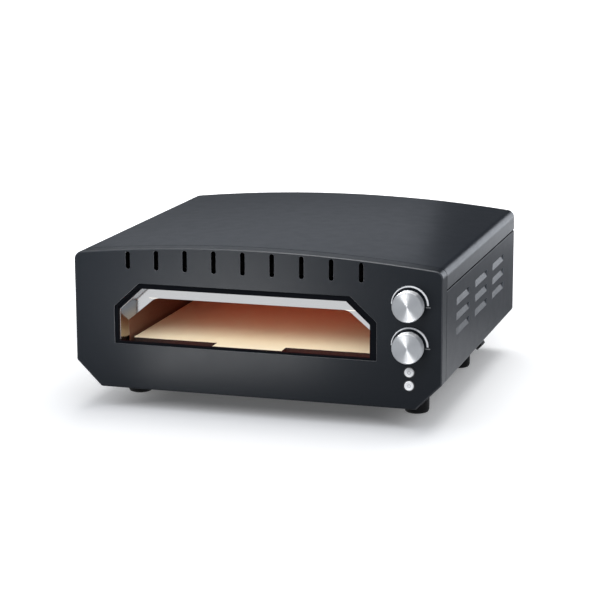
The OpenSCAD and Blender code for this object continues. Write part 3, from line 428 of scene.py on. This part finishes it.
# ---------- folded sheets: the CAD shape with rounded folds and broken edges ----------

# Cosine above which two normals count as one, angles of soft and folded edges, and |X| of a flank's normal.
SAME_PLANE = 0.9999995
SMOOTH_BELOW, FOLD_ABOVE = math.radians(40), math.radians(25)
FLANK = 0.9
BEVEL_SEGMENTS = 3
# Widths in mm: round of the front's outer fold, and small breaks on the front and elsewhere.
FRONT_ROUND, FRONT_BREAK, EDGE_BREAK = 1.5, 0.35, 0.4
COVER_LEAN = 0.13


def flat_groups(mesh):
    """Area of the flat region that each face belongs to."""
    area = {}
    for start in mesh.faces:
        if start in area:
            continue
        group, queue = {start}, [start]
        while queue:
            face = queue.pop()
            for edge in face.edges:
                for near in edge.link_faces:
                    if near not in group and near.normal.dot(face.normal) > SAME_PLANE:
                        group.add(near)
                        queue.append(near)
        total = sum(face.calc_area() for face in group)
        area.update((face, total) for face in group)
    return area


def crisp_normals(mesh):
    """Corner normals in which a large flat region outweighs the narrow strips beside it."""
    area = flat_groups(mesh)
    least = math.cos(SMOOTH_BELOW)
    normals = []
    for face in mesh.faces:
        for loop in face.loops:
            total = Vector()
            for near in loop.vert.link_faces:
                if near.normal.dot(face.normal) >= least:
                    corner = next(x for x in near.loops if x.vert == loop.vert)
                    total += near.normal * corner.calc_angle() * area[near] ** 2
            normals.append(total.normalized() if total.length else face.normal.copy())
    return normals


def leant(normal, lean):
    """The normal of a flank, tipped up by lean; other normals stay."""
    if abs(normal.x) <= FLANK:
        return normal
    return (normal + Vector((0, 0, lean))).normalized()


def broken_edges(mesh, choose):
    """Folds sorted by the width in mm that choose(spot, edge) gives them, spot being an edge's middle."""
    widths = {}
    for edge in mesh.edges:
        if len(edge.link_faces) == 2 and edge.calc_face_angle(0) > FOLD_ABOVE:
            width = choose((edge.verts[0].co + edge.verts[1].co) / 2, edge)
            if width:
                widths.setdefault(width, []).append(edge)
    return sorted(widths.items(), reverse=True)


def sheet_piece(node, choose, lean=0):
    """A piece made from the node's own shape, with the chosen edges rounded and its flanks shaded
    as if they leant inwards a little."""
    mesh = bmesh.new()
    mesh.from_mesh(NODES[node].data)
    bmesh.ops.remove_doubles(mesh, verts=mesh.verts, dist=0.005 * MM)
    bmesh.ops.dissolve_limit(mesh, angle_limit=math.radians(0.05), verts=mesh.verts, edges=mesh.edges)
    mesh.normal_update()
    for width, edges in broken_edges(mesh, choose):
        edges = [edge for edge in edges if edge.is_valid]
        bmesh.ops.bevel(mesh, geom=edges, offset=width * MM, offset_type="OFFSET", segments=BEVEL_SEGMENTS,
                        profile=0.5, affect="EDGES", clamp_overlap=False, miter_outer="ARC")
    bmesh.ops.triangulate(mesh, faces=mesh.faces, ngon_method="EAR_CLIP")
    bmesh.ops.remove_doubles(mesh, verts=mesh.verts, dist=0.001 * MM)
    mesh.normal_update()
    mesh.faces.ensure_lookup_table()
    normals = [leant(normal, lean) for normal in crisp_normals(mesh)]
    data = mesh_from(mesh, node + "_sheet")
    data.normals_split_custom_set(normals)
    return dress(new_object(node + "_sheet", data), BODY_OF[node], SLOT_OF[node], node)


def paint_gap_shade(piece, seam_top=math.inf):
    """Painted shade: flat black on the tongues that lie behind the front groove and under the side seam, to
    darken these gaps.
    """
    groove = PANEL_HIGH.y + 1.0 * MM

    def in_gap(face):
        corners = [piece.data.vertices[i].co for i in face.vertices]
        return min(c.y for c in corners) < groove or max(c.z for c in corners) > seam_top
    return add_coat(piece, SHADE_BLACK, in_gap)


def paint_louver_end_light(piece):
    """Painted light: a much paler coat on the small end faces of the pressed louvers, which lie in shade."""
    def at_end(face):
        return abs(face.normal.y) > 0.9 and LOUVERS_FROM < face.center.y < LOUVERS_TO
    return add_coat(piece, LOUVER_LIGHT_COAT, at_end)


def paint_fold_highlight(piece):
    """Glossier coat on the narrow faces that round the outer fold of the front, its underside apart: a real
    highlight from its gloss and a painted highlight from its colour, lighter than the front's own.
    """
    def in_fold(face):
        return -0.97 < face.normal.y < -0.25 and face.normal.z > -0.2
    return add_coat(piece, FOLD_HIGHLIGHT_COAT, in_fold)


def every_fold(spot, edge):
    return EDGE_BREAK


def front_folds(spot, edge):
    """Wide round on the outer fold, a small break elsewhere on the front face."""
    if abs(spot.y - PANEL_LOW.y) > 0.05 * MM:
        return 0
    outer = any(face.calc_center_median().y > PANEL_LOW.y + 4 * MM for face in edge.link_faces)
    return FRONT_ROUND if outer else FRONT_BREAK


def rim_edges(node):
    """Breaks the long edges at the node's front, rear and seam, and leaves its slots alone."""
    low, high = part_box(node)

    def choose(spot, edge):
        at_end = min(abs(spot.y - low.y), abs(spot.y - high.y)) < 0.1 * MM
        at_seam = abs(spot.z - SEAM_Z) < 3 * MM and abs(spot.x) > high.x * 0.98
        return EDGE_BREAK if at_end or at_seam else 0
    return choose


front_sheet = paint_fold_highlight(sheet_piece("front_panel", front_folds))
sheet_piece("mouth_frame", every_fold)
# Painted shade darkens the groove and seam tongues of the cover and side panels.
paint_gap_shade(sheet_piece("top_cover", rim_edges("top_cover"), COVER_LEAN))
# The two side panels mirror each other, so the right one's box serves both.
for side in ("left", "right"):
    walls = sheet_piece("side_panel_" + side, rim_edges("side_panel_right"))
    # Painted light on the louver ends, painted shade in the seam.
    paint_louver_end_light(paint_gap_shade(walls, SEAM_Z - 1.3 * MM))
sheet_piece("rear_panel", rim_edges("rear_panel"))


# ---------- turned pieces ----------

def lathe(name, profile, centre, segments):
    """Body of revolution about Y. profile holds (radius, depth) in mm, depth counted towards +Y."""
    verts, faces = [], []
    for r, depth in profile:
        for i in range(segments):
            a = 2 * math.pi * i / segments
            verts.append((r * MM * math.cos(a), depth * MM, r * MM * math.sin(a)))
    for k in range(len(profile) - 1):
        for i in range(segments):
            here, beside = k * segments + i, k * segments + (i + 1) % segments
            faces.append((here, beside, beside + segments, here + segments))
    made = solid(name, verts, faces, sharp=35)
    made.location = centre
    return made


def arc(centre, radius, start, end, steps=6):
    """Points of an arc in the (radius, depth) plane, angles in degrees."""
    turns = [math.radians(start + (end - start) * i / steps) for i in range(steps + 1)]
    return [(centre[0] + radius * math.cos(a), centre[1] + radius * math.sin(a)) for a in turns]


def front_middle(node):
    """Middle of the node's front face."""
    low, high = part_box(node)
    return (low.x + high.x) / 2, low.y, (low.z + high.z) / 2


def dial_cap(row):
    """Cup of turned metal: dished face, bright chamfer ring, cylindrical wall with a rolled rear edge."""
    node = "dial_cap_" + row
    low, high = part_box(node)
    r, depth = (high.x - low.x) / 2 / MM, (high.y - low.y) / MM
    face_r, sunk, dish, steps = r - 1.35, 0.3, 0.22, 8
    wall, inner_floor, roll = 3.0, 2.0, 0.5
    profile = [(0.0, sunk - 0.02), (0.5, sunk)]
    profile += [(face_r * k / steps, sunk - dish * (k / steps) ** 2) for k in range(1, steps + 1)]
    profile += [(face_r + 0.12, 0.02), (face_r + 0.3, 0.0), (r - 0.12, 0.85)]
    profile += [(r, 1.1), (r, depth - roll - 0.2)]
    profile += arc((r - roll, depth - roll), roll, 0, 90)
    profile += [(r - wall + 0.1, depth), (r - wall, depth - 0.2)]
    profile += [(r - wall, inner_floor), (0.0, inner_floor)]
    cap = lathe("dial_cap_%s_turned" % row, profile, front_middle(node), 192)
    return dress(cap, "dial_" + row, "dial_metal", node)


def push_button(row):
    """Small satin cap with a rounded rim and a shallow dish, its collar and stem behind the panel."""
    node = "button_" + row
    low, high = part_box(node)
    collar_r, length = (high.x - low.x) / 2 / MM, (high.y - low.y) / MM
    r, rim, stem_r, stem_break = 5.5, 0.8, 2.5, 0.4
    behind_face, collar_t = 1.8, 1.4
    collar = (PANEL_LOW.y - low.y) / MM + behind_face
    profile = [(0.0, 0.42), (1.5, 0.4), (3.2, 0.3), (4.0, 0.16), (4.5, 0.08)]
    profile += arc((r - rim, rim), rim, -90, 0)
    profile += [(r, collar), (collar_r, collar), (collar_r, collar + collar_t), (stem_r, collar + collar_t)]
    profile += [(stem_r, length - stem_break), (stem_r - stem_break, length), (0.0, length)]
    cap = lathe("button_%s_cap" % row, profile, front_middle(node), 96)
    return dress(cap, "button_%s_body" % row, "button_white", node)


def button_shade_ring(row):
    """Thin lip of the button's bezel, lying on the front panel, in flat black: painted shade for the gap
    round the button.
    """
    inner_r, outer_r, sunk, proud = 5.65, 6.5, 0.5, 0.2
    profile = [(inner_r, sunk), (inner_r, 0.1 - proud), (inner_r + 0.15, -proud), (outer_r - 0.15, -proud),
               (outer_r, 0.15 - proud), (outer_r, 0.0), (inner_r, sunk)]
    x, _, z = front_middle("button_" + row)
    ring = lathe("button_shade_ring_" + row, profile, (x, PANEL_LOW.y, z), 64)
    dress(ring, "cabinet", "bezel_grey")
    # Painted shade: the ring is flat black.
    ring.data.materials[0] = SHADE_BLACK
    return ring


# ---------- other small pieces ----------

def rim_bead():
    """Rolled bright edge of the polished liner, just behind the black frame."""
    low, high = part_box("mouth_tunnel")
    r, inset, drop, run, sill_rise, sides = 0.45 * MM, 1.3 * MM, 27 * MM, 29.4 * MM, 11 * MM, 12
    left, right, top = low.x + inset, high.x - inset, high.z - inset
    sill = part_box("mouth_frame")[0].z + sill_rise
    path = [(left, sill), (left, top - drop), (left + run, top), (right - run, top), (right, top - drop),
            (right, sill)]
    verts, faces = [], []
    for i, (x, z) in enumerate(path):
        before = Vector(path[max(i - 1, 0)])
        after = Vector(path[min(i + 1, len(path) - 1)])
        here = Vector((x, z))
        ways = [(b - a).normalized() for a, b in ((before, here), (here, after)) if (b - a).length > 0]
        along = sum(ways, Vector((0, 0))).normalized()
        across = Vector((along.y, -along.x)) / abs(along.dot(ways[0]))
        for k in range(sides):
            a = 2 * math.pi * k / sides
            out, back = r * math.cos(a), r * math.sin(a)
            verts.append((x + across.x * out, low.y + r + back, z + across.y * out))
    for i in range(len(path) - 1):
        for k in range(sides):
            start, beside = i * sides + k, i * sides + (k + 1) % sides
            faces.append((start, beside, beside + sides, start + sides))
    faces.append(tuple(range(sides))[::-1])
    faces.append(tuple((len(path) - 1) * sides + k for k in range(sides)))
    return dress(solid("rim_bead", verts, faces, sharp=50), "cabinet", "polished_steel")


def cluster_middles(node, reach):
    """Middles of the separate small solids of a node, found by grouping its points."""
    groups = []
    for vertex in node.data.vertices:
        near = [group for group in groups if (group[0] - vertex.co).length < reach]
        if near:
            near[0].append(vertex.co.copy())
        else:
            groups.append([vertex.co.copy()])
    middles = []
    for group in groups:
        low = Vector([min(point[i] for point in group) for i in range(3)])
        high = Vector([max(point[i] for point in group) for i in range(3)])
        middles.append((low + high) / 2)
    return middles


def cut_slot(piece, size, place, turn):
    """Cuts a box from the piece, turned by that many degrees about Y."""
    bpy.ops.mesh.primitive_cube_add(size=1)
    cutter = bpy.context.object
    cutter.scale = size
    cutter.location = place
    cutter.rotation_euler = (0, math.radians(turn), 0)
    cut = piece.modifiers.new("recess", "BOOLEAN")
    cut.operation = "DIFFERENCE"
    cut.solver = "EXACT"
    cut.object = cutter
    ready = piece.evaluated_get(bpy.context.evaluated_depsgraph_get())
    mesh = bpy.data.meshes.new_from_object(ready)
    piece.modifiers.clear()
    piece.data = mesh
    bpy.data.objects.remove(cutter)


def rear_screw_heads():
    """Pan heads with a cross recess, one for each screw of the rear wall."""
    r, height, shank, length, dome = 3.6, 2.2, 2.0, 7.0, 1.5
    profile = [(0.0, height), (1.6, height - 0.06)] + arc((r - dome, height - dome), dome, 80, 0)
    profile += [(r, 0.0), (shank, 0.0), (shank, 0.4 - length), (shank - 0.4, -length), (0.0, -length)]
    screw = lathe("screw", profile, (0, 0, 0), 48)
    slot_size = Vector((3.8, 2.4, 0.75)) * MM
    for turn in (20, 110):
        cut_slot(screw, slot_size, (0, (height + 0.2) * MM, 0), turn)
    screw_reach = 12 * MM
    joined = bmesh.new()
    for place in cluster_middles(NODES["rear_screws"], screw_reach):
        copy = screw.data.copy()
        copy.transform(Matrix.Translation((place.x, CABINET_BACK, place.z)))
        joined.from_mesh(copy)
        bpy.data.meshes.remove(copy)
    bpy.data.objects.remove(screw)
    data = mesh_from(joined, "rear_screw_heads")
    data.set_sharp_from_angle(angle=math.radians(35))
    return dress(new_object("rear_screw_heads", data), "cabinet", "black_steel", "rear_screws")


for row in ROWS:
    dial_cap(row)
    push_button(row)
    button_shade_ring(row)
rim_bead()
rear_screw_heads()


# ---------- floor ----------

FLOOR_RADIUS = 30
# Painted light on the floor, a glow that the camera sees: weak under the object, strong beside it and far
# away, so that it shapes the shadow; and a glow for mirror rays.
LIFT_UNDER, LIFT_NEAR, LIFT_FAR, FLOOR_GLOSS = 0.09, 0.38, 0.51, 0.6
# What mirror rays see of the floor in front of the object and behind it, and what soft light sees.
FLOOR_FRONT, FLOOR_REAR, FLOOR_BOUNCE = (0.82, 0.84, 0.87), (0.2, 0.208, 0.222), (0.3, 0.3, 0.3)
# Spans in metres over which the mirrored look changes: along Y, and by the distance from the middle.
MIRROR_TO_REAR, MIRROR_TO_FAR = (-0.2, 0.5), (0.9, 1.5)
# Spans over which the glow changes: along Y past the front, along X past the sides, and by distance.
LIFT_FRONT = (PANEL_LOW.y - 30 * MM, PANEL_LOW.y + 55 * MM)
LIFT_SIDE, LIFT_OUT = (0.12, 0.25), (0.3, 0.9)


def studio_floor():
    """Pale floor that shows white to the camera and keeps the object's shadow, with painted light from a
    camera-only glow over it: weak under the object, stronger beside it.
    """
    bpy.ops.mesh.primitive_circle_add(vertices=96, radius=FLOOR_RADIUS, fill_type="NGON")
    floor = bpy.context.object
    floor.name = "floor"
    s = Shader("floor_white", Roughness=0.9, Specular_IOR_Level=0.1)
    x, y = s.axis("X"), s.axis("Y")
    path = s.node("ShaderNodeLightPath").outputs
    far = s.distance(x, y)
    shown = s.mix(s.noise(3, 2), (0.84, 0.84, 0.84), (0.86, 0.86, 0.86))
    mirrored = s.mix(s.span(y, *MIRROR_TO_REAR, smooth=True), FLOOR_FRONT, FLOOR_REAR)
    mirrored = s.mix(s.span(far, *MIRROR_TO_FAR, smooth=True), mirrored, FLOOR_FRONT)
    bounced = s.mix(path["Is Glossy Ray"], FLOOR_BOUNCE, mirrored)
    s.colour(s.mix(path["Is Camera Ray"], bounced, shown))
    # Painted light: the glow lightens the shadow in front of and beside the object more than under it.
    before = s.span(y, *LIFT_FRONT, 1.0, 0.0, smooth=True)
    beside = s.span(s.math("ABSOLUTE", x), *LIFT_SIDE, smooth=True)
    near = s.span(s.math("MAXIMUM", before, beside), 0.0, 1.0, LIFT_UNDER, LIFT_NEAR)
    lift = s.math("ADD", near, s.span(far, *LIFT_OUT, 0.0, LIFT_FAR, smooth=True))
    lift = s.math("MULTIPLY", path["Is Camera Ray"], lift)
    lift = s.math("ADD", lift, s.math("MULTIPLY", path["Is Glossy Ray"], FLOOR_GLOSS))
    shade = s.mix(path["Is Glossy Ray"], (1, 1, 1), mirrored)
    glow = s.node("ShaderNodeEmission", {"Color": shade, "Strength": lift})
    both = s.node("ShaderNodeAddShader", {0: s.bsdf.outputs[0], 1: glow.outputs[0]})
    s.feed(s.output.inputs["Surface"], both.outputs[0])
    floor.data.materials.append(s.material)
    return floor


# ---------- room and lamps ----------

ROOM_TINT, LAMP_TINT, WARM_TINT = (0.93, 0.97, 1.04), (0.92, 0.97, 1.05), (1, 0.93, 0.76)
# Strength of the room low and high, behind the object and in front of it.
REAR_LOW, REAR_HIGH = 0.3, 0.04
FRONT_LOW, FRONT_HIGH = 0.3, 0.9
# Spans of the ray's Z over which these change, and of its Y from front to rear.
REAR_RISE, FRONT_RISE, TO_REAR = (0.0, 0.28), (0.1, 0.8), (-0.4, 0.5)


def studio_room():
    """World that is white to the camera and, in front of the object, to mirror and glass rays. Behind
    the object it is darker, so that the coat on the top stays dark."""
    world = bpy.data.worlds.new("studio")
    bpy.context.scene.world = world
    world.use_nodes = True
    s = Nodes(world.node_tree)
    way = s.split(s.node("ShaderNodeTexCoord").outputs["Generated"])
    path = s.node("ShaderNodeLightPath").outputs
    seen = path["Is Camera Ray"]
    mirrored = s.math("MAXIMUM", path["Is Glossy Ray"], path["Is Transmission Ray"])
    rear = s.span(way["Z"], *REAR_RISE, REAR_LOW, REAR_HIGH, smooth=True)
    front = s.span(way["Z"], *FRONT_RISE, FRONT_LOW, FRONT_HIGH, smooth=True)
    front = s.math("MAXIMUM", front, mirrored)
    to_rear = s.span(way["Y"], *TO_REAR, smooth=True)
    room = s.math("ADD", front, s.math("MULTIPLY", to_rear, s.math("SUBTRACT", rear, front)))
    background = world.node_tree.nodes["Background"]
    s.feed(background.inputs["Strength"], s.math("MAXIMUM", room, seen))
    s.feed(background.inputs["Color"], s.mix(seen, ROOM_TINT, (1, 1, 1)))


def softbox(name, place, target, width, height, power, colour=(1, 1, 1)):
    """Rectangular lamp at place, turned to target; sizes in metres, power in watts."""
    data = bpy.data.lights.new(name, "AREA")
    data.color = colour
    data.shape = "RECTANGLE"
    data.size, data.size_y = width, height
    data.energy = power
    lamp = new_object(name, data)
    lamp.visible_camera = False
    lamp.location = place
    lamp.rotation_euler = (Vector(target) - Vector(place)).to_track_quat("-Z", "Y").to_euler()
    return lamp


def link_lamp(lamp, piece, state):
    """The lamp lights this piece alone (INCLUDE) or every piece but this one (EXCLUDE)."""
    linked = bpy.data.collections.new(lamp.name + "_link")
    linked.objects.link(piece)
    lamp.light_linking.receiver_collection = linked
    linked.collection_objects[0].light_linking.link_state = state


def room_lamps(floor):
    """Key from the upper left and overhead light for the object, a lamp of its own for the floor,
    two rims from behind on the right, a strip for the top and a small fill in the mouth."""
    key = softbox("key", (-0.06, -0.8, 0.68), (0.05, -0.15, 0.1), width=0.35, height=0.35, power=4.5)
    overhead = softbox("overhead", (0, 0.2, 3.4), (0, 0.2, 0), width=4.5, height=4.5, power=150)
    softbox("rim_high", (1.1, 2.6, 0.75), (0.2, 0, 0.15), width=1.0, height=0.7, power=6.6, colour=LAMP_TINT)
    softbox("rim_low", (1.2, 2.6, 0.2), (0.2, 0, 0.12), width=1.4, height=0.32, power=3.8, colour=LAMP_TINT)
    softbox("sky_strip", (-0.275, 0.66, 0.42), (-0.05, -0.15, 0.2), width=0.61, height=0.14, power=0.2,
            colour=LAMP_TINT)
    in_mouth = Vector((MOUTH_X, PANEL_LOW.y + 45 * MM, 0.136))
    on_stone = Vector((MOUTH_X, PANEL_LOW.y + 80 * MM, 0.07))
    softbox("mouth_fill", in_mouth, on_stone, width=0.26, height=0.03, power=0.05, colour=WARM_TINT)
    floor_top = softbox("floor_top", (0.1, 1.1, 3.2), (0, 0, 0), width=2.4, height=2.4, power=72)
    link_lamp(key, floor, "EXCLUDE")
    link_lamp(overhead, floor, "EXCLUDE")
    link_lamp(floor_top, floor, "INCLUDE")


def sheen_card(piece):
    """Card lying in front of the object: gives one piece a broad soft sheen and lights nothing else."""
    card = softbox("sheen_card", (-0.235, -0.79, 0.004), (0, 0, 1), width=0.23, height=0.86, power=7.0)
    card.rotation_euler = (math.pi, 0, -0.36)
    link_lamp(card, piece, "INCLUDE")


def dial_sheen(row):
    """Small lamp at the upper left of one dial: it gives the turned face its second wedge."""
    face = middle("dial_cap_" + row)
    place = face + Vector((-0.47, -0.44, 0.47))
    lamp = softbox("dial_sheen_" + row, place, face, width=0.46, height=0.24, power=8.0)
    link_lamp(lamp, bpy.data.objects["dial_cap_%s_turned" % row], "INCLUDE")


# ---------- camera ----------

CAMERA_PLACE = (0.71746, -2.38215, 0.6469)
CAMERA_YAW, CAMERA_PITCH, CAMERA_ROLL = 0.2955, 0.2170, -0.0036
FOCAL_PIXELS, IMAGE_PIXELS = 2013.23, 600


def camera():
    """Pinhole camera; its angles are in radians."""
    data = bpy.data.cameras.new("camera")
    data.sensor_width = 36
    data.lens = FOCAL_PIXELS / IMAGE_PIXELS * data.sensor_width
    data.clip_end = 50
    cam = new_object("camera", data)
    yaw, pitch, roll = CAMERA_YAW, CAMERA_PITCH, CAMERA_ROLL
    ahead = Vector((-math.sin(yaw) * math.cos(pitch), math.cos(yaw) * math.cos(pitch), -math.sin(pitch)))
    level = Vector((math.cos(yaw), math.sin(yaw), 0))
    upright = level.cross(ahead)
    right = math.cos(roll) * level + math.sin(roll) * upright
    up = -math.sin(roll) * level + math.cos(roll) * upright
    cam.matrix_world = Matrix.Translation(CAMERA_PLACE) @ Matrix((right, up, -ahead)).transposed().to_4x4()
    bpy.context.scene.camera = cam


room_lamps(studio_floor())
studio_room()
sheen_card(front_sheet)
for row in ROWS:
    dial_sheen(row)
camera()
bpy.context.scene.view_settings.view_transform = "Standard"
